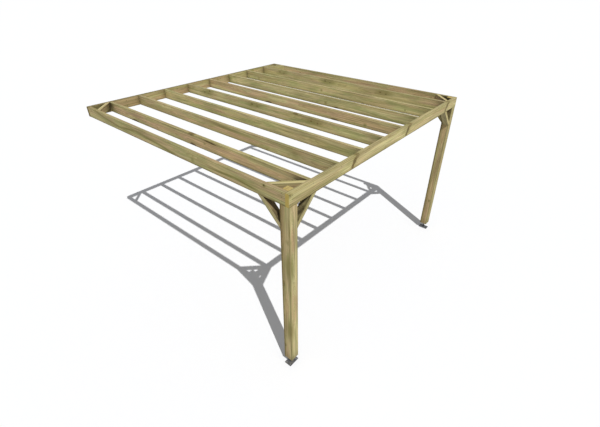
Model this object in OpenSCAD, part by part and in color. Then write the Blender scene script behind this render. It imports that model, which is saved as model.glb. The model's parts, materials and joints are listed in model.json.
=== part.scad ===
// Wall-mounted pergola in planed 45 x 145 softwood, for one house wall.
// A wall plate is bolted to the wall, two side beams run out from it to a
// front beam, and rafters fill the frame. Two notched posts carry the front
// corners on steel feet, and 45 degree braces stiffen every corner.
//
// Frame: +X runs along the wall, +Y points into it and +Z is up. The origin is
// in the middle of the wall plate's back face, the face against the wall.
// Left is the -X side, and front is the -Y side.

/* [Overall] */
// Length of the frame along the wall
frame_w = 4000; // [3000:10:5000]
// Depth of the frame, from the wall to the front beam's face
frame_d = 3980; // [2500:10:5000]
// Height of the frame's top above the ground
frame_h = 2490; // [2100:10:3000]

/* [Beams] */
// Thickness of the wall plate, front beam and side beams
beam_t = 45; // [38:1:60]
// Depth of the wall plate, front beam and side beams
beam_d = 145; // [120:1:220]
// Radius of the eased edges along every timber
edge_r = 3; // [1:0.5:5]

/* [Rafters] */
// Number of rafters between the side beams
rafter_count = 8; // [6:1:10]
// Thickness of a rafter
rafter_t = 45; // [38:1:60]
// Depth of a rafter
rafter_d = 145; // [95:1:145]

/* [Corner braces] */
// Leg of a corner brace along either beam
brace_leg = 280; // [240:5:320]
// Thickness of a corner brace
brace_t = 45; // [28:1:48]
// Depth of a corner brace
brace_d = 90; // [70:1:145]
// Free gap from a corner brace's end to the nearest rafter
brace_gap = 4; // [2:1:60]

/* [Posts] */
// Width of a post's square section
post_w = 120; // [100:5:140]
// Gap from the ground to a post's foot
post_gap = 108; // [60:1:150]

/* [Knee braces] */
// Leg of a knee brace along the post and along the beam
knee_leg = 285; // [220:5:450]
// Thickness of a knee brace
knee_t = 45; // [28:1:60]
// Width of a knee brace, across its beam
knee_w = 90; // [60:1:100]

/* [Post feet] */
// Length of a ground plate
ground_plate_l = 150; // [140:5:200]
// Width of a ground plate
ground_plate_w = 95; // [90:5:140]
// Thickness of a ground plate
ground_plate_t = 8; // [5:1:12]
// Radius of a steel plate's corners
plate_corner_r = 6; // [2:1:10]
// Diameter of the four fixing holes in a ground plate
foot_hole_d = 11; // [9:0.5:14]
// Distance from a fixing hole's centre to the plate's edges
foot_hole_inset = 20; // [15:1:22]
// Diameter of the stem between the two plates
stem_d = 20; // [16:1:30]
// Width of the square head plate under the post
head_plate_w = 90; // [60:5:100]
// Thickness of the head plate
head_plate_t = 6; // [4:1:10]

/* [Wall fixings] */
// Diameter of the bolt holes through the wall plate
wall_hole_d = 11; // [9:0.5:14]
// Height between the two bolt holes of a pair
wall_hole_gap = 70; // [40:5:90]

/* [Hidden] */

// The two sides, as the sign of X
LEFT = -1;
RIGHT = 1;
// Quarter turns that point a corner's two legs into the frame
TURN_FRONT_LEFT = 0;
TURN_FRONT_RIGHT = 90;
TURN_WALL_RIGHT = 180;
TURN_WALL_LEFT = 270;
// Segments of a round, enough to stay a true circle
ROUND = 32;
// How far a cut runs past the solid it cuts
CUT = 1;

// Levels, up from the middle of the wall plate
top_z = beam_d / 2;
beam_foot_z = top_z - beam_d;
ground_z = top_z - frame_h;
post_foot_z = ground_z + post_gap;

// Inner faces of the frame
inner_x = frame_w / 2 - beam_t;
plate_face_y = -beam_t;
front_inner_y = -frame_d + beam_t;
side_l = plate_face_y - front_inner_y;

// Centre of a post
post_x = frame_w / 2 - post_w / 2;
post_y = -frame_d + post_w / 2;

// Rafters share the width that the corner braces leave free
end_bay = brace_leg + brace_gap;
first_rafter_x = -inner_x + end_bay + rafter_t / 2;
rafter_pitch = -2 * first_rafter_x / (rafter_count - 1);
function rafter_x(i) = first_rafter_x + (i - 1) * rafter_pitch;

timber_colour = [0.66, 0.60, 0.40];
rafter_colour = [0.62, 0.58, 0.36];
brace_colour = [0.70, 0.62, 0.42];
steel_colour = [0.33, 0.34, 0.36];

// Rectangle centred on the origin, with rounded corners
module eased_rectangle(w, d, r) {
    square([w - 2 * r, d], center = true);
    square([w, d - 2 * r], center = true);
    for (x = [r - w / 2, w / 2 - r], y = [r - d / 2, d / 2 - r])
        translate([x, y]) circle(r, $fn = ROUND);
}

// Planed timber standing up from the origin, with its long edges eased
module timber(l, t, d) {
    linear_extrude(l) eased_rectangle(t, d, edge_r);
}

// Timber lying along X or along Y, on edge, centred on the origin in section
module timber_along_x(l, t, d) {
    translate([-l / 2, 0, 0]) rotate([90, 0, 90]) timber(l, t, d);
}

module timber_along_y(l, t, d) {
    translate([0, l / 2, 0]) rotate([90, 0, 0]) timber(l, t, d);
}

// 45 degree strut across the corner of +X and +Y. Its outer face runs from
// one leg's end to the other's, both ends are mitred to sit on the two sides
// of the corner, and it rises by w.
module strut(leg, t, w) {
    middle = leg / 2 - t / 2 / sqrt(2);
    intersection() {
        translate([middle, middle, w / 2]) rotate([0, 0, -45])
            timber_along_x(2 * leg, t, w);
        cube([leg, leg, w]);
    }
}

// The same strut under a beam: one leg runs along the beam, away from the
// post, the other down the post, and its width goes back from the beam's face
module knee(turn) {
    rotate([-90, 0, 0]) rotate([0, 0, turn]) strut(knee_leg, knee_t, knee_w);
}

module wall_plate() {
    color(timber_colour)
    difference() {
        translate([0, -beam_t / 2, 0]) timber_along_x(frame_w, beam_t, beam_d);
        for (bay = [1 : 2 : rafter_count - 1], z = [-wall_hole_gap / 2, wall_hole_gap / 2])
            translate([rafter_x(bay) + rafter_pitch / 2, CUT, z]) rotate([90, 0, 0])
                cylinder(d = wall_hole_d, h = beam_t + 2 * CUT, $fn = ROUND);
    }
}

module front_beam() {
    color(timber_colour)
    translate([0, -frame_d + beam_t / 2, 0])
        timber_along_x(frame_w, beam_t, beam_d);
}

module side_beam(side) {
    color(timber_colour)
    translate([side * (inner_x + beam_t / 2), plate_face_y - side_l / 2, 0])
        timber_along_y(side_l, beam_t, beam_d);
}

module rafter(i) {
    color(rafter_colour)
    translate([rafter_x(i), plate_face_y - side_l / 2, top_z - rafter_d / 2])
        timber_along_y(side_l, rafter_t, rafter_d);
}

module corner_brace(side, y, turn) {
    color(brace_colour)
    translate([side * inner_x, y, top_z - brace_d]) rotate([0, 0, turn])
        strut(brace_leg, brace_t, brace_d);
}

// Square post. Its two outer faces are cut back at the top by the thickness
// of the beams, which sit on the shoulders and finish flush with the post.
module post(side) {
    color(timber_colour)
    translate([side * post_x, post_y, post_foot_z])
    difference() {
        timber(top_z - post_foot_z, post_w, post_w);
        translate([-post_w / 2 - CUT, -post_w / 2 - CUT, beam_foot_z - post_foot_z])
            cube([post_w + 2 * CUT, beam_t + CUT, beam_d + CUT]);
        translate([side * (post_w - beam_t + CUT) / 2, 0,
                   beam_foot_z - post_foot_z + (beam_d + CUT) / 2])
            cube([beam_t + CUT, post_w + 2 * CUT, beam_d + CUT], center = true);
    }
}

module knee_brace_front(side) {
    color(brace_colour)
    translate([side * (frame_w / 2 - post_w), -frame_d, beam_foot_z])
        knee(side == LEFT ? TURN_FRONT_LEFT : TURN_FRONT_RIGHT);
}

module knee_brace_side(side) {
    face_x = side == LEFT ? knee_w - frame_w / 2 : frame_w / 2;
    color(brace_colour)
    translate([face_x, post_w - frame_d, beam_foot_z]) rotate([0, 0, 90])
        knee(TURN_FRONT_LEFT);
}

// The left plate is long along the wall, and the right one is turned to be
// long away from it, as the whole right corner is turned with its post
module ground_plate(side) {
    hole_x = ground_plate_l / 2 - foot_hole_inset;
    hole_y = ground_plate_w / 2 - foot_hole_inset;
    color(steel_colour)
    translate([side * post_x, post_y, ground_z]) rotate([0, 0, side == LEFT ? 0 : 90])
    difference() {
        linear_extrude(ground_plate_t)
            eased_rectangle(ground_plate_l, ground_plate_w, plate_corner_r);
        for (x = [-hole_x, hole_x], y = [-hole_y, hole_y])
            translate([x, y, -CUT])
                cylinder(d = foot_hole_d, h = ground_plate_t + 2 * CUT, $fn = ROUND);
    }
}

module stem(side) {
    color(steel_colour)
    translate([side * post_x, post_y, ground_z + ground_plate_t])
        cylinder(d = stem_d, h = post_gap - ground_plate_t - head_plate_t, $fn = ROUND);
}

module head_plate(side) {
    color(steel_colour)
    translate([side * post_x, post_y, post_foot_z - head_plate_t])
        linear_extrude(head_plate_t)
            eased_rectangle(head_plate_w, head_plate_w, plate_corner_r);
}

wall_plate();
front_beam();
side_beam(LEFT);  // side_beam_left
side_beam(RIGHT);  // side_beam_right
for (i = [1 : rafter_count])
    rafter(i);
corner_brace(LEFT, plate_face_y, TURN_WALL_LEFT);  // corner_brace_wall_left
corner_brace(RIGHT, plate_face_y, TURN_WALL_RIGHT);  // corner_brace_wall_right
corner_brace(LEFT, front_inner_y, TURN_FRONT_LEFT);  // corner_brace_front_left
corner_brace(RIGHT, front_inner_y, TURN_FRONT_RIGHT);  // corner_brace_front_right
post(LEFT);  // post_left
post(RIGHT);  // post_right
knee_brace_front(LEFT);  // knee_brace_front_left
knee_brace_front(RIGHT);  // knee_brace_front_right
knee_brace_side(LEFT);  // knee_brace_side_left
knee_brace_side(RIGHT);  // knee_brace_side_right
ground_plate(LEFT);  // ground_plate_left
ground_plate(RIGHT);  // ground_plate_right
stem(LEFT);  // stem_left
stem(RIGHT);  // stem_right
head_plate(LEFT);  // head_plate_left
head_plate(RIGHT);  // head_plate_right
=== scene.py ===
# %% [markdown]
# # A wall-mounted pergola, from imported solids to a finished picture
#
# The real thing is an open roof frame for a house wall. A wall plate is bolted
# to the masonry, rafters run out from it to a front beam, and two posts on
# steel feet carry the front corners. All of it is planed, pressure-treated
# pine. Such wood is never one colour. The preservative turns the outer sapwood
# yellow-green, the heartwood stays a warm brown, and knots and growth rings
# run through both.
#
# The solids are already exact, so this lesson adds what they lack: wood that
# is cut from a log, steel, welds and the screws that hold the joints.

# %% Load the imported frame
import json
import math
import random

import bpy
from mathutils import Matrix, Vector

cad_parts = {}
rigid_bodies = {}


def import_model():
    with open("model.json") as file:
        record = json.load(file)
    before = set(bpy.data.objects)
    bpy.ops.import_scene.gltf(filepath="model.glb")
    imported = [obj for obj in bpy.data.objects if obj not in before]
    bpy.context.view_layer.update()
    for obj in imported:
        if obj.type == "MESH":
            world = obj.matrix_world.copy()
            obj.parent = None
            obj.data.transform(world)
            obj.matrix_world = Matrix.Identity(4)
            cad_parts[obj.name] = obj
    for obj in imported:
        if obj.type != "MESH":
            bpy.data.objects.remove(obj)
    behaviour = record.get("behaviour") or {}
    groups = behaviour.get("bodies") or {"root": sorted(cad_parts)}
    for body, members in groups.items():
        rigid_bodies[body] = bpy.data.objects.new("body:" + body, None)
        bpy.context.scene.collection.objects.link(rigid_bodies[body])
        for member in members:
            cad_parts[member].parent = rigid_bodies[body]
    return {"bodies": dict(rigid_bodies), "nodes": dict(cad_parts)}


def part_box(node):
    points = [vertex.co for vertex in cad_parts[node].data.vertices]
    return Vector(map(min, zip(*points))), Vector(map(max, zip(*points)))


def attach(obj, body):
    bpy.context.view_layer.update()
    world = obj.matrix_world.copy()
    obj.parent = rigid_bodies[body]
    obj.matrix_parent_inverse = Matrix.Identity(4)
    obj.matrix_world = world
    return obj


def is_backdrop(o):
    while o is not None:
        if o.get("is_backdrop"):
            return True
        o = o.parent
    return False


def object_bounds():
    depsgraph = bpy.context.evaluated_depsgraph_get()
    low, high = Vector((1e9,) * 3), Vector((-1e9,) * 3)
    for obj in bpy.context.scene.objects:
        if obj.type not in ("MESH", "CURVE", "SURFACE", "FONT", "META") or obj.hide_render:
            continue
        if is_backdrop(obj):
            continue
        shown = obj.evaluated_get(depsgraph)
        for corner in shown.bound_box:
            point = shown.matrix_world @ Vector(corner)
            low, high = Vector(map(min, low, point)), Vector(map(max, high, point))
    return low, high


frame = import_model()
solid_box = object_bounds()
BODY = next(iter(frame["bodies"]))
print("nodes:", len(frame["nodes"]), "body:", BODY)
print("box of the solids:", [tuple(round(v, 3) for v in c) for c in solid_box])

# %% [markdown]
# ## The camera
#
# The frame is seen from outside its left front corner and from above, as from
# an upper window. A wide lens close by gives the strong perspective, in which
# the near post looks more than twice as tall as the far one. A camera looks
# down its own -Z axis, so a turn of 90 degrees about X makes it level. Less
# than that tips it down.

# %% Camera
CAMERA_PLACE = (-4.103, -5.888, 1.7266)
CAMERA_YAW, CAMERA_DIP = 49.80, 33.153
SENSOR_WIDTH, LENS = 36.0, 22.175

camera = bpy.data.objects.new("camera", bpy.data.cameras.new("camera"))
camera.data.sensor_width = SENSOR_WIDTH
camera.data.lens = LENS
camera.data.clip_end = 500
camera.location = CAMERA_PLACE
camera.rotation_euler = (math.radians(90 - CAMERA_DIP), 0, math.radians(-CAMERA_YAW))
bpy.context.scene.collection.objects.link(camera)
bpy.context.scene.camera = camera
bpy.context.scene.view_settings.view_transform = "Standard"
print("camera at", CAMERA_PLACE, "looking", CAMERA_DIP, "degrees down")

# %% [markdown]
# ## A helper for node trees
#
# Materials and Geometry Nodes are both trees of nodes. Adding each node by
# hand takes four lines, so this small class adds a node, fills its inputs with
# numbers or with links from other nodes, and gives back its output. A formula
# then reads almost as it does on paper.

# %% Node tree helper
class Tree:
    """Adds nodes to one tree and links them."""

    def __init__(self, tree):
        self.tree = tree

    def node(self, kind, *inputs, **settings):
        made = self.tree.nodes.new(kind)
        for key, value in settings.items():
            setattr(made, key, value)
        for socket, value in zip(made.inputs, inputs):
            self.feed(socket, value)
        return made

    def feed(self, socket, value):
        if isinstance(value, bpy.types.NodeSocket):
            self.tree.links.new(value, socket)
        elif value is not None:
            socket.default_value = value

    def fill(self, made, inputs):
        """Feeds a node's inputs by their names."""
        for socket_name, value in inputs.items():
            self.feed(made.inputs[socket_name], value)

    def math(self, operation, a, b=None, clamp=False):
        return self.node("ShaderNodeMath", a, b,
                         operation=operation, use_clamp=clamp).outputs[0]

    def vector(self, operation, a, b=None, output=0):
        return self.node("ShaderNodeVectorMath", a, b,
                         operation=operation).outputs[output]

    def join(self, x, y, z):
        return self.node("ShaderNodeCombineXYZ", x, y, z).outputs[0]

    def split(self, vector):
        return self.node("ShaderNodeSeparateXYZ", vector).outputs

    def ramp(self, value, start, end, low=0.0, high=1.0):
        """A smooth step from low to high as value goes from start to end."""
        return self.node("ShaderNodeMapRange", value, start, end, low, high,
                         interpolation_type="SMOOTHSTEP").outputs[0]

    def noise(self, place, stretch, detail=2.0, roughness=0.5, colour=False):
        """Noise whose blobs are 1 / stretch metres long in each direction."""
        scaled = self.vector("MULTIPLY", place, stretch)
        made = self.node("ShaderNodeTexNoise", scaled, None, 1.0, detail, roughness)
        return made.outputs[1 if colour else 0]

    def blend(self, share, a, b, how="MIX"):
        """Mixes two colours."""
        made = self.node("ShaderNodeMix", share, data_type="RGBA", blend_type=how)
        self.feed(made.inputs[6], a)
        self.feed(made.inputs[7], b)
        return made.outputs[2]


def linear(red, green, blue):
    """A colour picked on a screen (0 to 255) as the linear colour Blender wants."""
    def one(v):
        v /= 255
        return v / 12.92 if v <= 0.04045 else ((v + 0.055) / 1.055) ** 2.4
    return (one(red), one(green), one(blue), 1.0)


def new_material(name):
    """An empty node material; returns it with its Tree."""
    material = bpy.data.materials.new(name)
    material.use_nodes = True
    material.node_tree.nodes.clear()
    return material, Tree(material.node_tree)


def finish_surface(t, colour, roughness, height, relief_share, relief_depth, **constants):
    """Ends a material in a surface with relief. Constants go straight on its sockets."""
    relief = t.node("ShaderNodeBump", relief_share, relief_depth)
    t.fill(relief, {"Height": height})
    surface = t.node("ShaderNodeBsdfPrincipled")
    t.fill(surface, {"Base Color": colour, "Roughness": roughness, "Normal": relief.outputs[0]})
    for words, value in constants.items():
        surface.inputs[words.replace("_", " ")].default_value = value
    t.node("ShaderNodeOutputMaterial", surface.outputs[0])


def new_group(name, inputs, outputs):
    """A shader node group with named sockets; returns it with its Tree."""
    group = bpy.data.node_groups.new(name, "ShaderNodeTree")
    for in_out, sockets in (("INPUT", inputs), ("OUTPUT", outputs)):
        for socket_name, kind in sockets:
            group.interface.new_socket(socket_name, in_out=in_out,
                                       socket_type="NodeSocket" + kind)
    return group, Tree(group)


print("white is", linear(255, 255, 255)[:3])

# %% [markdown]
# ## Light, sky and floor
#
# A low-contrast sky with one sun shows timber best: the sun picks out each
# face of a beam, and the sky keeps the shaded faces readable. The sun comes
# over the left front corner, so the frame's shadow falls to the back right.
# The floor is a pale studio floor. Light Path tells the material what kind of
# ray asks: the camera sees clean white, while light that bounces sees a grey
# that doesn't flood the wood from below.

# %% World, sun and floor
SUN_FROM = Vector((-0.326, -0.632, 1.0))
SUN_STRENGTH, SUN_ANGLE = 2.90, 0.5
SKY_LIGHT, FLOOR_DULL, FLOOR_WHITE = (0.276, 0.282, 0.296), 0.46, 0.97
FLOOR_SIZE, FLOOR_DROP = 240.0, 0.0005


def seen_share(tree):
    """1 for rays from the camera, a mirror or glass, and 0 for all others."""
    path = tree.node("ShaderNodeLightPath").outputs
    seen = tree.math("MAXIMUM", path["Is Camera Ray"], path["Is Glossy Ray"])
    return tree.math("MAXIMUM", seen, path["Is Transmission Ray"])


world = bpy.data.worlds.new("studio sky")
world.use_nodes = True
world.node_tree.nodes.clear()
sky = Tree(world.node_tree)
sky_colour = sky.blend(seen_share(sky), (*SKY_LIGHT, 1), (1, 1, 1, 1))
sky_light = sky.node("ShaderNodeBackground", sky_colour, 1.0)
sky.node("ShaderNodeOutputWorld", sky_light.outputs[0])
bpy.context.scene.world = world

sun = bpy.data.objects.new("sun", bpy.data.lights.new("sun", "SUN"))
sun.data.energy = SUN_STRENGTH
sun.data.angle = math.radians(SUN_ANGLE)
sun.rotation_euler = SUN_FROM.to_track_quat("Z", "Y").to_euler()
bpy.context.scene.collection.objects.link(sun)

floor_paint, paint = new_material("studio floor")
floor_colour = paint.blend(seen_share(paint), (*[FLOOR_DULL] * 3, 1), (*[FLOOR_WHITE] * 3, 1))
floor_look = paint.node("ShaderNodeBsdfDiffuse", floor_colour)
paint.node("ShaderNodeOutputMaterial", floor_look.outputs[0])

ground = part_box("ground_plate_left")[0].z - FLOOR_DROP
half = FLOOR_SIZE / 2
floor_mesh = bpy.data.meshes.new("studio_floor")
floor_mesh.from_pydata([(-half, -half, ground), (half, -half, ground),
                        (half, half, ground), (-half, half, ground)], [], [(0, 1, 2, 3)])
floor_mesh.materials.append(floor_paint)
studio_floor = bpy.data.objects.new("studio_floor", floor_mesh)
bpy.context.scene.collection.objects.link(studio_floor)
studio_floor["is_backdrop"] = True
print("floor at z =", round(ground, 4))

# %% [markdown]
# ## A knot, a streak or a stain
#
# A knot is the foot of a branch. On a board it shows as a dark oval with a
# darker rim, the rings swing round it, and the wood beside it takes up more
# green preservative. One small group describes all such marks: it measures how
# far a point is from the mark's centre, in units of the mark's own size. The
# groups are chained, each adding its share to what the one before it found.
# `Push` moves the growth rings, `Core` is the dark oval and `Halo` the stain
# round it. A mark with no core is just a stain.

# %% Mark group
RAGGED_STRETCH, RAGGED_SHARE = (30, 70, 70), 0.5
CORE_EDGE, HALO_EDGE = (1.15, 0.75), (3.4, 0.8)
PUSH_FALL = -0.45

mark_group, g = new_group(
    "timber mark",
    [("Place", "Vector"), ("Centre", "Vector"), ("Reach", "Vector"), ("Turn", "Float"),
     ("Push size", "Float"), ("Core share", "Float"), ("Halo share", "Float"),
     ("Push", "Float"), ("Core", "Float"), ("Halo", "Float")],
    [("Push", "Float"), ("Core", "Float"), ("Halo", "Float")])
given = g.node("NodeGroupInput").outputs
turned = g.node("ShaderNodeVectorRotate", given["Place"], given["Centre"],
                rotation_type="Y_AXIS")
g.feed(turned.inputs["Angle"], given["Turn"])
offset = g.vector("SUBTRACT", turned.outputs[0], given["Centre"])
away = g.vector("LENGTH", g.vector("DIVIDE", offset, given["Reach"]), output=1)
ragged = g.math("SUBTRACT", g.noise(given["Place"], RAGGED_STRETCH), 0.5)
away = g.math("ADD", away, g.math("MULTIPLY", ragged, RAGGED_SHARE))
core = g.math("MULTIPLY", g.ramp(away, *CORE_EDGE), given["Core share"])
halo = g.math("MULTIPLY", g.ramp(away, *HALO_EDGE), given["Halo share"])
fading = g.math("MULTIPLY", g.math("MULTIPLY", away, away), PUSH_FALL)
push = g.math("MULTIPLY", g.math("EXPONENT", fading), given["Push size"])
g.node("NodeGroupOutput",
       g.math("ADD", given["Push"], push),
       g.math("MAXIMUM", given["Core"], core),
       g.math("MAXIMUM", given["Halo"], halo))
print("mark group:", len(mark_group.nodes), "nodes")

# %% [markdown]
# ## Pine cut from a log
#
# A painted wood pattern looks wrong at the ends and edges of a board. Here the
# board is cut from a log instead. Each point's distance from the pith, the
# middle line of the tree, says which growth ring it lies in. That one number
# gives the arches on a wide face, the straight grain on an edge and the arcs
# on an end, and they meet at every edge. The same distance says whether a
# point is brown heartwood or yellow-green treated sapwood.
#
# Small pin knots come from a Voronoi pattern wrapped round the pith, so that
# each one is a cone that points outwards, as a branch does. Fine fibre noise
# and drying cracks follow.
#
# Then the group works by place. Upward faces and undersides are painted
# darker, as painted shade, the edges of a planed board soak up more
# preservative and are rubbed pale at the very corner, and painted shade is
# laid where timbers meet. `Up` and the painted-shade input tell the group
# where a point is, and the distance to the nearest two faces tells it how
# close an edge is.

# %% Colours of treated pine
SAP = linear(205, 193, 141)
SAP_DEEP = linear(186, 173, 117)
HEART = linear(197, 170, 126)
PINK = linear(200, 171, 133)
GREEN = linear(163, 166, 106)
OLIVE = linear(118, 112, 58)
LATE = linear(140, 124, 76)
KNOT = linear(72, 54, 18)
KNOT_PALE = linear(124, 100, 42)
HALO = linear(130, 124, 62)
END_GRAIN = linear(205, 180, 88)
PALE_EDGE = linear(222, 210, 170)
CRACK = linear(70, 56, 34)
PAINTED_SHADE = linear(84, 74, 44)
PAINTED_SHADE_DEEP = linear(40, 30, 14)
SOAKED = linear(112, 98, 54)
print("sapwood", [round(v, 3) for v in SAP[:3]], "heartwood", [round(v, 3) for v in HEART[:3]])

# %% How strongly each of them shows
# Undersides are painted darker, as painted shade
UNDERSIDE_PAINTED_SHADE = 0.60
LATE_SHARE, HALO_SHARE, CORE_SHARE = 0.50, 0.76, 0.90
END_LATE_SHARE, END_GRAIN_SHARE = 0.45, 0.85
OLIVE_SHARE, SOAKED_SHARE, PALE_EDGE_SHARE = 0.62, 0.50, 0.30
STREAK_SWING, BLOTCH_SWING, FIBRE_SWING = 0.27, 0.12, 0.06
PIN_SIZES, PIN_PUSH, PIN_HALO = (0.012, 0.070), 0.009, 0.8
SOAKED_WIDTH, PALE_WIDTH = (0.018, 0.005), (0.0055, 0.0015)
CRACK_WIDTH = (0.0011, 0.0003)
ROUGH_FROM, ROUGH_TO = 0.62, 0.78
print("an underside keeps", UNDERSIDE_PAINTED_SHADE, "of its lightness")

# %% Pine group
pine_group, g = new_group(
    "treated pine",
    [("Place", "Vector"), ("Seed", "Vector"), ("Pith", "Vector"), ("Half size", "Vector"),
     ("Ring", "Float"), ("Heart", "Float"), ("Green", "Float"), ("Pink", "Float"),
     ("Tone", "Float"), ("Top painted shade", "Float"), ("Cracks", "Float"), ("Painted shade", "Float"),
     ("End", "Float"), ("Up", "Float"),
     ("Push", "Float"), ("Core", "Float"), ("Halo", "Float")],
    [("Colour", "Color"), ("Roughness", "Float"), ("Height", "Float")])
given = g.node("NodeGroupInput").outputs
place = given["Place"]
seeded = g.vector("ADD", place, given["Seed"])
HALF = (0.5, 0.5, 0.5)

# Distance from the pith, which wanders slowly along the timber
wander = g.vector("SUBTRACT", g.noise(seeded, (0.8, 2, 2), colour=True), HALF)
wander = g.vector("MULTIPLY", wander, (0, 0.07, 0.07))
spoke = g.vector("ADD", g.vector("SUBTRACT", place, given["Pith"]), wander)
spoke = g.vector("MULTIPLY", spoke, (0, 1, 1))
from_pith = g.vector("LENGTH", spoke, output=1)

# Pin knots, as cones round the pith
direction = g.vector("MULTIPLY", g.vector("NORMALIZE", spoke), (0, 0.45, 0.45))
along = g.vector("MULTIPLY", seeded, (4.6, 0, 0))
cells = g.node("ShaderNodeTexVoronoi", g.vector("ADD", direction, along), None, 1.0)
pin_size = g.ramp(g.split(cells.outputs["Color"])[0], 0.0, 1.0, *PIN_SIZES)
pin_away = g.math("DIVIDE", cells.outputs["Distance"], pin_size)
pin_core = g.ramp(pin_away, 1.1, 0.7)
pin_halo = g.ramp(pin_away, *HALO_EDGE, 0.0, PIN_HALO)
pin_push = g.math("MULTIPLY", g.ramp(pin_away, 3.2, 0.0), PIN_PUSH)

core = g.math("MAXIMUM", given["Core"], pin_core)
halo = g.math("MAXIMUM", given["Halo"], pin_halo)
jitter = g.math("SUBTRACT", g.noise(seeded, (2.2, 24, 24)), 0.5)
jitter = g.math("MULTIPLY", jitter, 0.012)
age = g.math("ADD", g.math("ADD", from_pith, jitter),
             g.math("ADD", given["Push"], pin_push))

# Growth rings: pale early wood that darkens slowly and stops sharply
count = g.math("DIVIDE", age, given["Ring"])
uneven = g.node("ShaderNodeTexNoise", None, count, 0.45, 1.0, 0.5, noise_dimensions="1D")
count = g.math("ADD", count, g.math("MULTIPLY", uneven.outputs[0], 1.6))
late = g.math("POWER", g.math("FRACT", count), 2.2)
bands = g.node("ShaderNodeTexNoise", None, count, 0.22, 1.0, 0.5, noise_dimensions="1D")
bands = g.ramp(bands.outputs[0], 0.38, 0.62)

# Heartwood, sapwood, and what the preservative and the weather add
uneven_heart = g.math("SUBTRACT", g.noise(seeded, (1.3, 11, 11)), 0.5)
uneven_heart = g.math("MULTIPLY", uneven_heart, 0.055)
past_heart = g.math("SUBTRACT", g.math("ADD", age, uneven_heart), given["Heart"])
heart = g.ramp(past_heart, 0.010, -0.012)
green = g.ramp(g.noise(seeded, (2.6, 16, 16), 3.0), 0.44, 0.60)
green = g.math("MULTIPLY", green, given["Green"])
elsewhere = g.vector("ADD", seeded, (17.0, 5.0, 9.0))
pink = g.ramp(g.noise(elsewhere, (2.3, 15, 15), 3.0), 0.46, 0.60)
pink = g.math("MULTIPLY", pink, given["Pink"])
olive = g.ramp(g.noise(elsewhere, (1.2, 48, 48), 4.0, 0.62), 0.56, 0.72, 0.0, OLIVE_SHARE)
streak = g.noise(seeded, (1.8, 80, 80), 3.0, 0.6)
blotch = g.noise(seeded, (1.4, 6, 6), 2.0)
fibre = g.noise(seeded, (16, 620, 620), 2.0, 0.7)

colour = g.blend(bands, SAP, SAP_DEEP)
colour = g.blend(heart, colour, HEART)
colour = g.blend(green, colour, GREEN)
colour = g.blend(pink, colour, PINK)
colour = g.blend(g.math("MULTIPLY", late, LATE_SHARE), colour, LATE)
colour = g.blend(olive, colour, OLIVE)
shade = g.math("ADD", g.ramp(streak, 0.25, 0.75, -STREAK_SWING, STREAK_SWING),
               g.ramp(blotch, 0.3, 0.7, -BLOTCH_SWING, BLOTCH_SWING))
shade = g.math("ADD", shade, g.ramp(fibre, 0.3, 0.7, 1 - FIBRE_SWING, 1 + FIBRE_SWING))
# Painted shade: upward faces darker by each timber's top share, undersides darker too
painted_face_shade = g.ramp(given["Up"], 0.5, 0.9, 1.0, given["Top painted shade"])
painted_underside_shade = g.ramp(given["Up"], -0.25, -0.65, 1.0, UNDERSIDE_PAINTED_SHADE)
painted_face_shade = g.math("MULTIPLY", painted_face_shade, painted_underside_shade)
shade = g.math("MULTIPLY", g.math("MULTIPLY", shade, given["Tone"]), painted_face_shade)
colour = g.blend(1.0, colour, g.join(shade, shade, shade), "MULTIPLY")
colour = g.blend(g.math("MULTIPLY", halo, HALO_SHARE), colour, HALO)
mottled = g.math("MULTIPLY", g.ramp(g.noise(seeded, (40, 90, 90), 3.0), 0.42, 0.62),
                 g.ramp(core, 0.99, 0.90))
knotty = g.blend(mottled, KNOT, KNOT_PALE)
colour = g.blend(g.math("MULTIPLY", core, CORE_SHARE), colour, knotty)
end_late = g.blend(g.math("MULTIPLY", late, END_LATE_SHARE), END_GRAIN, LATE)
colour = g.blend(g.math("MULTIPLY", given["End"], END_GRAIN_SHARE), colour, end_late)

# Painted shade, in patches, where timbers meet
patchy = g.ramp(g.noise(seeded, (14, 22, 22)), 0.25, 0.7, 0.65, 1.0)
painted_shade = g.math("MULTIPLY", given["Painted shade"], patchy)
painted_shade_colour = g.blend(g.ramp(given["Painted shade"], 0.62, 0.95), PAINTED_SHADE, PAINTED_SHADE_DEEP)
colour = g.blend(painted_shade, colour, painted_shade_colour)

# Soaked and rubbed edges: a point near two faces at once is near an edge
inner = g.vector("SUBTRACT", given["Half size"], g.vector("ABSOLUTE", place))
_, in_thick, in_deep = g.split(inner)
to_edge = g.math("ADD", in_thick, in_deep)
off_knot = g.math("SUBTRACT", 1.0, core)
soaked = g.math("MULTIPLY", g.ramp(to_edge, *SOAKED_WIDTH),
                g.ramp(given["Up"], 0.3, 0.8, SOAKED_SHARE, 0.0))
soaked = g.math("MULTIPLY", soaked, g.ramp(g.noise(seeded, (5, 20, 20)), 0.3, 0.65, 0.5, 1.0))
soaked = g.math("MULTIPLY", soaked, off_knot)
colour = g.blend(soaked, colour, SOAKED)
rubbed = g.ramp(to_edge, *PALE_WIDTH)
rubbed = g.math("MULTIPLY", rubbed, g.ramp(g.noise(seeded, (9, 40, 40)), 0.35, 0.6))
rubbed = g.math("MULTIPLY", rubbed, off_knot)
colour = g.blend(g.math("MULTIPLY", rubbed, PALE_EDGE_SHARE), colour, PALE_EDGE)

# Drying cracks, thin slits in the plane of the pith
ragged = g.vector("SUBTRACT", g.noise(seeded, (3.5, 1, 1), 3.0, colour=True), HALF)
sideways = g.split(g.vector("ADD", spoke, g.vector("MULTIPLY", ragged, (0, 0, 0.014))))[2]
slit = g.ramp(g.math("ABSOLUTE", sideways), *CRACK_WIDTH)
slit = g.math("MULTIPLY", slit, g.ramp(g.noise(seeded, (1.7, 0.1, 0.1), 0.0), 0.50, 0.56))
slit = g.math("MULTIPLY", slit, given["Cracks"])
colour = g.blend(slit, colour, CRACK)

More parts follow.
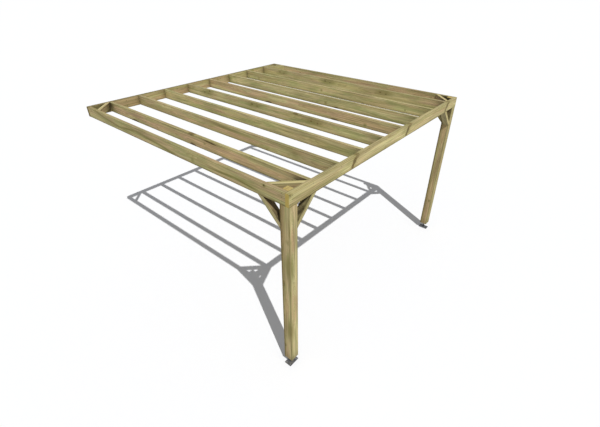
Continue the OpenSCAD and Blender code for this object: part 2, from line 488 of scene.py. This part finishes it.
rough = g.ramp(fibre, 0.3, 0.7, ROUGH_FROM, ROUGH_TO)
height = g.math("ADD", g.math("MULTIPLY", late, 0.30), g.math("MULTIPLY", fibre, 0.35))
height = g.math("ADD", height, g.math("MULTIPLY", core, 0.35))
height = g.math("SUBTRACT", height, g.math("MULTIPLY", slit, 2.0))
g.node("NodeGroupOutput", colour, rough, height)
print("pine group:", len(pine_group.nodes), "nodes")

# %% [markdown]
# ## Which way each timber lies
#
# The pine is drawn in a timber's own directions: first its length, then its
# thickness, then its depth. For the beams and posts these are the box's own
# directions. The braces stand at 45 degrees, so their length direction is
# named here. A Mapping node turns the object's coordinates into the timber's,
# which leaves every solid where it is.

# %% Timber directions
UP = Vector((0, 0, 1))
ALONG_WALL, TO_WALL = Vector((1, 0, 0)), Vector((0, 1, 0))
beam_low, beam_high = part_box("front_beam")
plank_thickness = beam_high.y - beam_low.y


def lie_of(name):
    """Middle, half size and the three directions of a timber."""
    low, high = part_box(name)
    middle, size = (low + high) / 2, high - low
    side = -1 if name.endswith("left") else 1
    if name.startswith("corner_brace"):
        end = -1 if "front" in name else 1
        corner = Vector((side, end, 0)).normalized()
        length, deep = Vector((side, -end, 0)).normalized(), UP
    elif name.startswith("knee_brace"):
        in_front = "front" in name
        out, deep = (-side * ALONG_WALL, TO_WALL) if in_front else (TO_WALL, ALONG_WALL)
        corner = (UP - out).normalized()
        length = (UP + out).normalized()
    else:
        axis = max(range(3), key=lambda i: size[i])
        length = Vector([float(i == axis) for i in range(3)])
        deep = TO_WALL if axis == 2 else UP
        thick = deep.cross(length)
        half_size = Vector([abs(d.dot(size)) / 2 for d in (length, thick, deep)])
        return middle, half_size, (length, thick, deep)
    thick = deep.cross(length)
    middle = middle + corner * plank_thickness / 2
    half_size = Vector((size.length, plank_thickness / 2, abs(deep.dot(size)) / 2))
    return middle, half_size, (length, thick, deep)


timbers = [n for n in sorted(frame["nodes"]) if not n.startswith(("ground", "stem", "head"))]
for name in ("rafter_1", "post_left", "knee_brace_front_left"):
    print(name, "runs along", tuple(round(v, 2) for v in lie_of(name)[2][0]))

# %% [markdown]
# ## The marks that each timber shows
#
# Random knots give a natural frame, but some marks stand out on the real one:
# pairs of knots in a green patch on two rafters, dark resin streaks at the
# edges of others, long spike knots that cross the front beam, a wavy green
# streak down the near side beam, and green and tan patches down the near
# post. The rafters, side beams and front beam get a dark line of painted shade
# at their lower edge, and the posts are darker along their back edge. The
# marks are listed by timber. Each row holds the centre and the reach in the
# timber's own directions, a turn in degrees, how far the rings move, and the
# strength of the core and of the halo.

# %% Table of marks
THROUGH = 0.2


def knot_pair(place, height, gap=0.11):
    """Two knots side by side, in one green patch."""
    return [((place, 0, height), (0.022, THROUGH, 0.013), 0, 0.014, 0.72, 0.55),
            ((place - gap, 0, height - 0.012), (0.018, THROUGH, 0.011), 0, 0.012, 0.62, 0.55),
            ((place - gap / 2, 0, height), (0.075, THROUGH, 0.022), -3, 0.0, 0.0, 0.75)]


def spike_knot(place):
    """A branch cut along its length, so that it crosses the board's face."""
    return [((place + 0.055, 0, 0.056), (0.055, THROUGH, 0.030), 25, 0.006, 0.62, 0.35),
            ((place + 0.008, 0, 0.016), (0.056, THROUGH, 0.034), 55, 0.008, 0.86, 0.45),
            ((place - 0.022, 0, -0.032), (0.036, THROUGH, 0.026), 62, 0.004, 0.90, 0.40),
            ((place - 0.080, 0, 0.024), (0.034, THROUGH, 0.016), 0, 0.0, 0.0, 0.45)]


def streaks(path, core_share=0.34, halo_share=0.95):
    """A long streak that follows a path of (place, height) points."""
    rows = []
    for (x0, z0), (x1, z1) in zip(path, path[1:]):
        centre = ((x0 + x1) / 2, 0, (z0 + z1) / 2)
        slope = math.degrees(math.atan2(z1 - z0, x1 - x0))
        rows.append((centre, (abs(x1 - x0) * 0.50, THROUGH, 0.0072), slope, 0.004,
                     core_share, halo_share))
    return rows


# Painted shade along the lower edge of a beam, and a darker band along the back edge of a post
LOWER_EDGE_SHADE = [((0, 0, -0.0725), (4.0, THROUGH, 0.0160), 0, 0.0, 0.50, 0.30)]
BACK_EDGE = [((0, -0.06, 0.0600), (4.0, 0.060, 0.0240), 0, 0.0, 0.70, 0.35)]

MARKS = {
    # The wall plate's ends and the back of its top, against the wall, get painted shade
    "wall_plate": [((-2.0, 0, 0), (0.010, THROUGH, 0.3), 0, 0.0, 0.60, 0.70),
                   ((2.0, 0, 0), (0.010, THROUGH, 0.3), 0, 0.0, 0.60, 0.70),
                   ((0, 0.0225, 0.0725), (4.0, 0.022, 0.011), 0, 0.0, 0.60, 0.20)],
    "side_beam_left": (streaks([(-1.55, -0.036), (-1.25, -0.006), (-0.93, -0.020)])
                       + streaks([(-0.21, -0.062), (0.09, -0.018), (0.65, 0.022),
                                  (1.05, -0.020), (1.45, 0.017), (1.70, 0.058)])),
    "rafter_1": [((-0.10, 0, 0.068), (0.060, THROUGH, 0.014), 2, 0.004, 0.80, 0.4),
                 ((-0.11, 0, -0.066), (0.075, THROUGH, 0.024), 0, 0.004, 1.0, 0.4),
                 ((-0.46, 0, 0.054), (0.130, THROUGH, 0.011), 3, 0.004, 0.97, 0.5),
                 ((1.25, 0, -0.066), (0.110, THROUGH, 0.022), 0, 0.004, 1.0, 0.4),
                 ((-1.31, 0, -0.072), (0.06, THROUGH, 0.012), 0, 0.004, 0.8, 0.3)],
    "rafter_2": [((-0.17, 0, 0.036), (0.26, THROUGH, 0.009), 1, 0.006, 0.35, 0.8),
                 ((-1.37, 0, 0.015), (0.050, THROUGH, 0.020), 0, 0.006, 0.2, 0.5)],
    "rafter_4": (knot_pair(1.475, 0.016) + knot_pair(0.315, 0.034) + knot_pair(-0.845, 0.026)
                 + [((-0.56, 0, 0.066), (0.055, THROUGH, 0.010), 0, 0.003, 0.75, 0.3)]),
    "rafter_5": [((0.42, 0, -0.063), (0.080, THROUGH, 0.019), 0, 0.004, 1.0, 0.4),
                 ((-0.91, 0, -0.068), (0.085, THROUGH, 0.019), 0, 0.004, 1.0, 0.4)],
    "rafter_6": [((-0.60, 0, -0.066), (0.060, THROUGH, 0.014), 0, 0.003, 1.0, 0.3)],
    "rafter_8": knot_pair(1.476, 0.030) + knot_pair(0.33, 0.030) + knot_pair(-0.83, 0.024),
    # The first row paints shade along the top outer edge
    "side_beam_right": [((0, -0.0225, 0.0725), (4.0, 0.026, 0.011), 0, 0.0, 0.80, 0.30),
                        ((-1.55, 0, 0.055), (0.34, THROUGH, 0.020), 0, 0.0, 0.22, 0.25)],
    "front_beam": (spike_knot(-0.935) + spike_knot(0.324) + spike_knot(1.610)
                   + [((0.75, 0, 0.045), (0.20, THROUGH, 0.011), 1, 0.003, 0.0, 0.55),
                      ((1.30, 0, 0.042), (0.22, THROUGH, 0.013), -1, 0.003, 0.0, 0.55),
                      ((-0.35, 0, -0.045), (0.24, THROUGH, 0.009), 1, 0.003, 0.0, 0.45),
                      ((-1.55, 0, -0.030), (0.26, THROUGH, 0.010), 2, 0.003, 0.0, 0.45)]),
    "post_right": BACK_EDGE + [((0, 0, -0.060), (1.6, 0.080, 0.008), 0, 0.0, 0.0, 0.50)],
    "post_left": BACK_EDGE + [
                  ((-0.963, -0.06, 0.040), (0.030, 0.04, 0.013), 0, 0.008, 0.85, 0.5),
                  ((0.064, -0.06, 0.036), (0.050, 0.04, 0.014), 0, 0.008, 0.7, 0.5),
                  ((0.32, -0.06, -0.045), (0.075, 0.022, 0.022), 0, 0.0, 0.0, 0.95),
                  ((-0.65, -0.06, -0.045), (0.085, 0.020, 0.020), 0, 0.0, 0.12, 0.95),
                  ((0.68, -0.005, -0.06), (0.14, 0.040, 0.030), 0, -0.058, 0.0, 0.0),
                  ((-0.30, -0.005, -0.06), (0.14, 0.040, 0.030), 0, -0.058, 0.0, 0.0),
                  ((-0.25, -0.06, -0.06), (0.85, 0.0060, 0.0060), 0, 0.0, 0.15, 0.80)],
}
for name in timbers:
    if name.startswith(("rafter", "side_beam", "front_beam")):
        MARKS[name] = MARKS.get(name, []) + LOWER_EDGE_SHADE
print("listed marks:", sum(len(rows) for rows in MARKS.values()))

# %% [markdown]
# ## One finish for each timber
#
# No two timbers come from the same log, so each gets its own material from the
# same two groups: its own pith, ring width, greens and pinks, and tone. The
# table gives what is known of each timber, and a fixed seed draws the rest, so
# that it comes out alike on every run. The pith lies on the far side of a
# board's show face, as a sawyer turns it, and close to the middle of a post.
# Upward faces are painted darker, as painted shade, and the wall plate,
# under the eaves' drips, has lost its sheen.
#
# An Ambient Occlusion node finds the nooks. It measures how shut in a point is
# by the timbers round it, and the more shut in it is, the more painted shade it
# gets. The front corners, with the post, two knee braces and a corner brace
# crowded together, get the most, so near the front beam the share is raised
# timber by timber. The corner brace that looks into the sun gets less painted
# shade.

# %% Looks of each timber
# name: tone, green share, pink share, heartwood radius in metres
LOOKS = {
    "wall_plate": (0.94, 0.35, 0.60, 0.080),
    "front_beam": (1.17, 0.32, 0.35, 0.066),
    "side_beam_left": (1.07, 0.55, 0.60, 0.072),
    "side_beam_right": (1.10, 0.35, 0.75, 0.085),
    "rafter_1": (1.19, 0.25, 0.85, 0.085),
    "rafter_2": (1.12, 0.50, 0.55, 0.080),
    "rafter_3": (1.21, 0.75, 0.35, 0.066),
    "rafter_4": (1.16, 0.75, 0.45, 0.070),
    "rafter_5": (1.21, 0.25, 0.70, 0.085),
    "rafter_6": (1.17, 0.80, 0.25, 0.062),
    "rafter_7": (1.24, 0.70, 0.35, 0.066),
    "rafter_8": (1.18, 0.50, 0.50, 0.075),
    "post_left": (1.08, 0.45, 0.50, 0.056),
    "post_right": (1.08, 0.20, 0.55, 0.058),
    "corner_brace_front_right": (1.10, 0.10, 0.50, 0.040),
    "corner_brace": (1.02, 0.30, 0.20, 0.054),
    "knee_brace_front_right": (1.34, 0.10, 0.10, 0.020),
    "knee_brace": (1.10, 0.30, 0.20, 0.050),
}
# Painted shade on upward faces: the share of its lightness that each timber's top keeps
TOP_PAINTED_SHADE = {"rafter_1": 0.66, "rafter_2": 0.65, "rafter_3": 0.69, "rafter_4": 0.63,
            "rafter_5": 0.69, "rafter_6": 0.65, "rafter_7": 0.66, "rafter_8": 0.58,
            "brace": 1.0, "wall_plate": 0.50, "front_beam": 0.68, "side_beam_left": 0.70}
END_SHARE = {"wall_plate": 0.0, "post": 0.55}
PITHS = {"post_left": (0, -0.018, 0.022), "post_right": (0, -0.018, -0.012)}
USUAL_TOP_PAINTED_SHADE, END_FACING = 0.74, (0.80, 0.92)
SEED_SPREAD, RING_WIDTHS = 40, (0.0035, 0.0060)
PITH_BEHIND, PITH_ASIDE = (0.045, 0.065), (-0.022, 0.022)
SHINE, USUAL_SHINE = {"wall_plate": 0.0}, 0.25
WOOD_RELIEF = (0.55, 0.0006)
draw = random.Random(29)
print("looks in the table:", len(LOOKS))

# %% Where painted shade gathers
# Painted shade from an Ambient Occlusion node: how far it looks and how dark it paints
NOOK_SAMPLES, PAINTED_SHADE_REACH, PAINTED_SHADE_SHARE = 8, 0.28, 0.94
PAINTED_SHADE_FROM = (0.90, 0.32)
SHADY_FROM = (beam_high.y + 0.40, beam_high.y + 0.05)
SHADY_GAIN = {"rafter_1": 3.2, "rafter_8": 2.8, "side_beam_right": 3.2, "brace": 2.4}
USUAL_SHADY_GAIN = 1.9
# The corner brace in the sun gets less painted shade
SUNLIT_SHADE_CAP = {"corner_brace_front_left": 0.30}
print("nooks reach", PAINTED_SHADE_REACH, "m from a joint")


# %% Timber finish
def looks_of(table, name, otherwise=None):
    """The table's entry for this timber, or for the kind that it is."""
    return next((v for k, v in table.items() if name == k or k in name), otherwise)


def timber_finish(name):
    """The pine material of one timber, with its own marks, damp and ends."""
    middle, half_size, (length, thick, deep) = lie_of(name)
    material, t = new_material(name + " pine")
    turn = Matrix((length, thick, deep))
    where = t.node("ShaderNodeTexCoord").outputs
    local = t.node("ShaderNodeMapping", where["Object"], tuple(-(turn @ middle)),
                   turn.to_euler("XYZ"), vector_type="POINT").outputs[0]
    show_side = 1 if abs(length.y) > 0.9 else -1
    seed = tuple(draw.uniform(-SEED_SPREAD, SEED_SPREAD) for _ in range(3))
    drawn = (0, -show_side * draw.uniform(*PITH_BEHIND), draw.uniform(*PITH_ASIDE))
    pith = PITHS.get(name, drawn)
    tone, green, pink, heart = looks_of(LOOKS, name)
    cracks = float(name.startswith("post"))

    found = (0.0, 0.0, 0.0)
    for centre, reach, degrees, push_size, core_share, halo_share in MARKS.get(name, []):
        mark = t.node("ShaderNodeGroup", node_tree=mark_group)
        values = (local, centre, reach, math.radians(degrees), push_size,
                  core_share, halo_share, *found)
        for socket, value in zip(mark.inputs, values):
            t.feed(socket, value)
        found = tuple(mark.outputs[i] for i in range(3))

    def facing(direction, start, end):
        share = t.vector("DOT_PRODUCT", where["Normal"], tuple(direction), output=1)
        return t.ramp(share, start, end)

    at_end = t.math("MAXIMUM", facing(length, *END_FACING), facing(-length, *END_FACING))
    at_end = t.math("MULTIPLY", at_end, looks_of(END_SHARE, name, 1.0))
    # Painted shade: an Ambient Occlusion node darkens points shut in by timbers, more near the
    # front beam
    nook = t.node("ShaderNodeAmbientOcclusion", samples=NOOK_SAMPLES)
    nook.inputs["Distance"].default_value = PAINTED_SHADE_REACH
    painted_shade = t.ramp(nook.outputs["AO"], *PAINTED_SHADE_FROM, 0.0, PAINTED_SHADE_SHARE)
    shut_in = t.math("MULTIPLY", t.math("SUBTRACT", 1.0, nook.outputs["AO"]),
                     looks_of(SHADY_GAIN, name, USUAL_SHADY_GAIN))
    by_front = t.ramp(t.split(where["Object"])[1], *SHADY_FROM)
    painted_shade = t.math("MAXIMUM", painted_shade, t.math("MULTIPLY", by_front, shut_in), clamp=True)
    painted_shade = t.math("MINIMUM", painted_shade, looks_of(SUNLIT_SHADE_CAP, name, PAINTED_SHADE_SHARE))
    pine = t.node("ShaderNodeGroup", node_tree=pine_group)
    values = (local, seed, pith, tuple(half_size), draw.uniform(*RING_WIDTHS), heart,
              green, pink, tone, looks_of(TOP_PAINTED_SHADE, name, USUAL_TOP_PAINTED_SHADE), cracks, painted_shade,
              at_end, t.split(where["Normal"])[2], *found)
    for socket, value in zip(pine.inputs, values):
        t.feed(socket, value)
    finish_surface(t, *pine.outputs, *WOOD_RELIEF,
                   Specular_IOR_Level=looks_of(SHINE, name, USUAL_SHINE))
    return material


def give(name, material):
    """Makes this the only material of a solid."""
    mesh = frame["nodes"][name].data
    mesh.materials.clear()
    mesh.materials.append(material)


for name in timbers:
    give(name, timber_finish(name))
print("finished timbers:", len(timbers))

# %% [markdown]
# ## Steel feet
#
# The plates and stems of the feet are steel under a thin dark grey coat. A
# coat like this looks flat from afar, but near to it is mottled, it is rubbed
# bright along edges and scuffed where boots and mowers touch it. Noise at two
# sizes drives the colour and the roughness, and scratches come from a noise
# that is stretched in one direction.

# %% Steel finish
COAT = linear(96, 98, 102)
COAT_DARK = linear(62, 64, 68)
BARE_STEEL = linear(150, 150, 150)
DUST = linear(150, 142, 124)
STEM_DARK, WELD_DARK = linear(34, 35, 38), linear(48, 50, 54)
SCREW_COAT, SCREW_DARK = linear(150, 140, 96), linear(112, 104, 66)
STEEL_RELIEF = (0.35, 0.0004)


def steel_finish(name, coat, coat_dark, metallic, roughness):
    """Coated steel with mottle, scuffs and dust."""
    material, t = new_material(name)
    local = t.node("ShaderNodeMapping",
                   t.node("ShaderNodeTexCoord").outputs["Object"]).outputs[0]
    mottle = t.ramp(t.noise(local, (38, 38, 38), 4.0, 0.6), 0.35, 0.65)
    grit = t.noise(local, (900, 900, 900), 1.0)
    colour = t.blend(mottle, coat, coat_dark)
    scuff = t.ramp(t.noise(local, (60, 420, 200), 3.0, 0.7), 0.60, 0.70)
    colour = t.blend(t.math("MULTIPLY", scuff, 0.5), colour, BARE_STEEL)
    dusty = t.ramp(t.noise(local, (16, 16, 16), 3.0), 0.52, 0.72, 0.0, 0.35)
    colour = t.blend(dusty, colour, DUST)
    rough = t.math("ADD", t.ramp(mottle, 0.0, 1.0, roughness - 0.06, roughness + 0.08),
                   t.math("MULTIPLY", dusty, 0.4))
    finish_surface(t, colour, rough, grit, *STEEL_RELIEF, Metallic=metallic)
    return material


plate_steel = steel_finish("coated steel", COAT, COAT_DARK, 0.35, 0.46)
stem_steel = steel_finish("dark coated steel", COAT_DARK, STEM_DARK, 0.35, 0.42)
weld_steel = steel_finish("coated weld", COAT_DARK, WELD_DARK, 0.45, 0.38)
screw_steel = steel_finish("olive coated screws", SCREW_COAT, SCREW_DARK, 0.55, 0.40)
for side in ("left", "right"):
    give("ground_plate_" + side, plate_steel)
    give("head_plate_" + side, plate_steel)
    give("stem_" + side, stem_steel)
print("steel nodes:", len(frame["nodes"]) - len(timbers))

# %% [markdown]
# ## Screws
#
# Treated frames are joined with long coated screws, driven in until the head
# is flush. There are about a hundred, all alike, which is work for Geometry
# Nodes: one head is made from a countersunk cone with a six-sided socket cut
# into it, and it is copied to every point of a small mesh. Each point carries
# the direction that its screw faces, and a seeded random turn keeps the
# sockets from lining up. The tree ends in Realize Instances and Set Material,
# and the result is turned into a plain mesh.

# %% Where the screws go
def at(middle, *steps):
    """A point reached from the middle by steps of (direction, amount)."""
    return middle + sum((direction * amount for direction, amount in steps), Vector())


screws = []
_, plate_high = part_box("wall_plate")
SCREW_RISE = 0.042
BRACE_SCREW_INSET, BRACE_SCREW_SPREAD = 0.050, 0.52
POST_FRONT_SHIFT, POST_SIDE_SHIFT, POST_SIDE_RISE = 0.006, 0.028, 0.012
HEAD_PLATE_SCREW = 0.030
for name in timbers:
    low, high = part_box(name)
    middle = (low + high) / 2
    if name.startswith(("rafter", "side_beam")):
        for rise in (-SCREW_RISE, SCREW_RISE):
            screws.append((Vector((middle.x, beam_low.y, middle.z + rise)), -TO_WALL))
            screws.append((Vector((middle.x, plate_high.y, middle.z + rise)), TO_WALL))
    if name.startswith(("corner_brace", "knee_brace")):
        centre, half_size, (length, thick, deep) = lie_of(name)
        inward = (middle - centre).normalized()
        leg = (high - low).z if "knee" in name else (high - low).x
        reach = leg / math.sqrt(2) - BRACE_SCREW_INSET
        spread = half_size.z * BRACE_SCREW_SPREAD
        for end in (-1, 1):
            for rise in (-spread, spread):
                spot = at(centre, (inward, half_size.y), (length, end * reach), (deep, rise))
                screws.append((spot, inward))
for side, sign in (("left", -1), ("right", 1)):
    low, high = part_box("post_" + side)
    middle = (low + high) / 2
    for rise in (-SCREW_RISE, 0.0, SCREW_RISE):
        screws.append((Vector((middle.x + sign * POST_FRONT_SHIFT, low.y, rise)), -TO_WALL))
        outside = low.x if sign < 0 else high.x
        spot = Vector((outside, middle.y + POST_SIDE_SHIFT, rise + POST_SIDE_RISE))
        screws.append((spot, sign * ALONG_WALL))
    low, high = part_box("head_plate_" + side)
    middle = (low + high) / 2
    for dx in (-HEAD_PLATE_SCREW, HEAD_PLATE_SCREW):
        for dy in (-HEAD_PLATE_SCREW, HEAD_PLATE_SCREW):
            screws.append((Vector((middle.x + dx, middle.y + dy, low.z)), -UP))
print("screws:", len(screws))

# %% Screw head tree
def new_geometry_tree(name, inputs):
    """A Geometry Nodes tree with a geometry in and out and named sizes."""
    tree = bpy.data.node_groups.new(name, "GeometryNodeTree")
    tree.interface.new_socket("Geometry", in_out="INPUT", socket_type="NodeSocketGeometry")
    for socket_name, kind, value in inputs:
        made = tree.interface.new_socket(socket_name, in_out="INPUT",
                                         socket_type="NodeSocket" + kind)
        if value is not None:
            made.default_value = value
    tree.interface.new_socket("Geometry", in_out="OUTPUT", socket_type="NodeSocketGeometry")
    return tree, Tree(tree)


screw_tree, s = new_geometry_tree("screw heads", [
    ("Head radius", "Float", 0.0055), ("Head depth", "Float", 0.0022),
    ("Proud", "Float", 0.0004), ("Seed", "Int", 5), ("Finish", "Material", None)])
given = s.node("NodeGroupInput").outputs
head = s.node("GeometryNodeMeshCone", fill_type="NGON")
s.fill(head, {"Vertices": 24, "Radius Top": given["Head radius"],
              "Radius Bottom": s.math("MULTIPLY", given["Head radius"], 0.62),
              "Depth": given["Head depth"]})
sink = s.math("SUBTRACT", given["Proud"], given["Head depth"])
head = s.node("GeometryNodeTransform", head.outputs["Mesh"])
s.fill(head, {"Translation": s.join(0.0, 0.0, sink)})
socket_cut = s.node("GeometryNodeMeshCylinder", fill_type="NGON")
s.fill(socket_cut, {"Vertices": 6, "Radius": s.math("MULTIPLY", given["Head radius"], 0.48),
                    "Depth": given["Head depth"]})
socket_cut = s.node("GeometryNodeTransform", socket_cut.outputs["Mesh"])
s.fill(socket_cut, {"Translation": s.join(0.0, 0.0, given["Proud"])})
cut = s.node("GeometryNodeMeshBoolean", operation="DIFFERENCE")
s.fill(cut, {"Mesh 1": head.outputs[0], "Mesh 2": socket_cut.outputs[0]})
facing = s.node("GeometryNodeInputNamedAttribute", "facing", data_type="FLOAT_VECTOR")
upright = s.node("FunctionNodeAlignRotationToVector", axis="Z")
s.fill(upright, {"Vector": facing.outputs["Attribute"]})
spin = s.node("FunctionNodeRandomValue", data_type="FLOAT")
spin_out = next(o for o in spin.outputs if o.enabled)
for socket in spin.inputs:
    if socket.enabled and socket.name in ("Min", "Max", "Seed"):
        s.feed(socket, {"Min": 0.0, "Max": math.pi / 3, "Seed": given["Seed"]}[socket.name])
turn_by = s.node("FunctionNodeAxisAngleToRotation", (0, 0, 1), spin_out)
turned = s.node("FunctionNodeRotateRotation", upright.outputs[0], turn_by.outputs[0],
                rotation_space="LOCAL")
placed = s.node("GeometryNodeInstanceOnPoints")
s.fill(placed, {"Points": given["Geometry"], "Instance": cut.outputs["Mesh"],
                "Rotation": turned.outputs[0]})
real = s.node("GeometryNodeRealizeInstances", placed.outputs[0])
coated = s.node("GeometryNodeSetMaterial", real.outputs[0])
s.fill(coated, {"Material": given["Finish"]})
s.node("NodeGroupOutput", coated.outputs[0])
print("screw tree:", len(screw_tree.nodes), "nodes")

# %% Screws made
def points_mesh(name, places):
    """A mesh of loose points that each carry the direction they face."""
    mesh = bpy.data.meshes.new(name)
    mesh.from_pydata([tuple(spot) for spot, _ in places], [], [])
    facing_data = mesh.attributes.new("facing", "FLOAT_VECTOR", "POINT")
    facing_data.data.foreach_set("vector", [v for _, way in places for v in way])
    made = bpy.data.objects.new(name, mesh)
    bpy.context.scene.collection.objects.link(made)
    return made


def grown(name, places, tree, settings):
    """Runs a tree on points and keeps the result as a plain mesh."""
    seed = points_mesh(name + "_points", places)
    modifier = seed.modifiers.new("nodes", "NODES")
    modifier.node_group = tree
    for item in tree.interface.items_tree:
        if item.item_type == "SOCKET" and item.in_out == "INPUT" and item.name in settings:
            modifier[item.identifier] = settings[item.name]
    graph = bpy.context.evaluated_depsgraph_get()
    graph.update()
    mesh = bpy.data.meshes.new_from_object(seed.evaluated_get(graph))
    mesh.name = name
    seed.modifiers.remove(modifier)
    bpy.data.objects.remove(seed)
    piece = bpy.data.objects.new(name, mesh)
    bpy.context.scene.collection.objects.link(piece)
    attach(piece, BODY)
    print(name, "has", len(mesh.polygons), "faces")
    return piece


grown("screws", screws, screw_tree, {"Finish": screw_steel})

# %% [markdown]
# ## Welds
#
# Each stem is welded to the plate below it and to the plate above it. A weld
# bead is a row of overlapping pools of metal. The tree lays a circle round
# the stem, puts a flattened ball on each of its points, and makes the balls
# real. The same tree does all four welds, since each is only another point.

# %% Weld tree
weld_tree, w = new_geometry_tree("weld beads", [
    ("Stem radius", "Float", 0.010), ("Bead", "Float", 0.0032),
    ("Pools", "Int", 22), ("Finish", "Material", None)])
given = w.node("NodeGroupInput").outputs
ring = w.node("GeometryNodeCurvePrimitiveCircle", mode="RADIUS")
bead_out = w.math("MULTIPLY", given["Bead"], 0.25)
w.fill(ring, {"Resolution": given["Pools"],
              "Radius": w.math("ADD", given["Stem radius"], bead_out)})
pool = w.node("GeometryNodeMeshUVSphere")
w.fill(pool, {"Segments": 10, "Rings": 6, "Radius": given["Bead"]})
flat_pool = w.node("GeometryNodeTransform", pool.outputs["Mesh"])
w.fill(flat_pool, {"Scale": (1.0, 0.72, 1.0)})
ring_points = w.node("GeometryNodeCurveToPoints", ring.outputs[0], mode="EVALUATED")
bead = w.node("GeometryNodeInstanceOnPoints")
w.fill(bead, {"Points": ring_points.outputs["Points"], "Instance": flat_pool.outputs[0],
              "Rotation": ring_points.outputs["Rotation"]})
bead_real = w.node("GeometryNodeRealizeInstances", bead.outputs[0])
beads = w.node("GeometryNodeInstanceOnPoints")
w.fill(beads, {"Points": given["Geometry"], "Instance": bead_real.outputs[0]})
beads_real = w.node("GeometryNodeRealizeInstances", beads.outputs[0])
coated = w.node("GeometryNodeSetMaterial", beads_real.outputs[0])
w.fill(coated, {"Material": given["Finish"]})
w.node("NodeGroupOutput", coated.outputs[0])

weld_spots = []
for side in ("left", "right"):
    low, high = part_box("stem_" + side)
    middle = (low + high) / 2
    weld_spots += [(Vector((middle.x, middle.y, low.z)), UP),
                   (Vector((middle.x, middle.y, high.z)), UP)]
low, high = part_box("stem_left")
grown("welds", weld_spots, weld_tree,
      {"Finish": weld_steel, "Stem radius": (high.x - low.x) / 2})

# %% [markdown]
# ## Measure the size
#
# The box of the finished model is measured after everything is made, and its
# growth over the box of the solids is printed. The finished model has to
# stay the size of the solids.

# %% Sizes and finish
final_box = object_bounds()
growth = [round((final_box[1][i] - final_box[0][i]) - (solid_box[1][i] - solid_box[0][i]), 4)
          for i in range(3)]
print("growth over the solids, in metres:", growth)
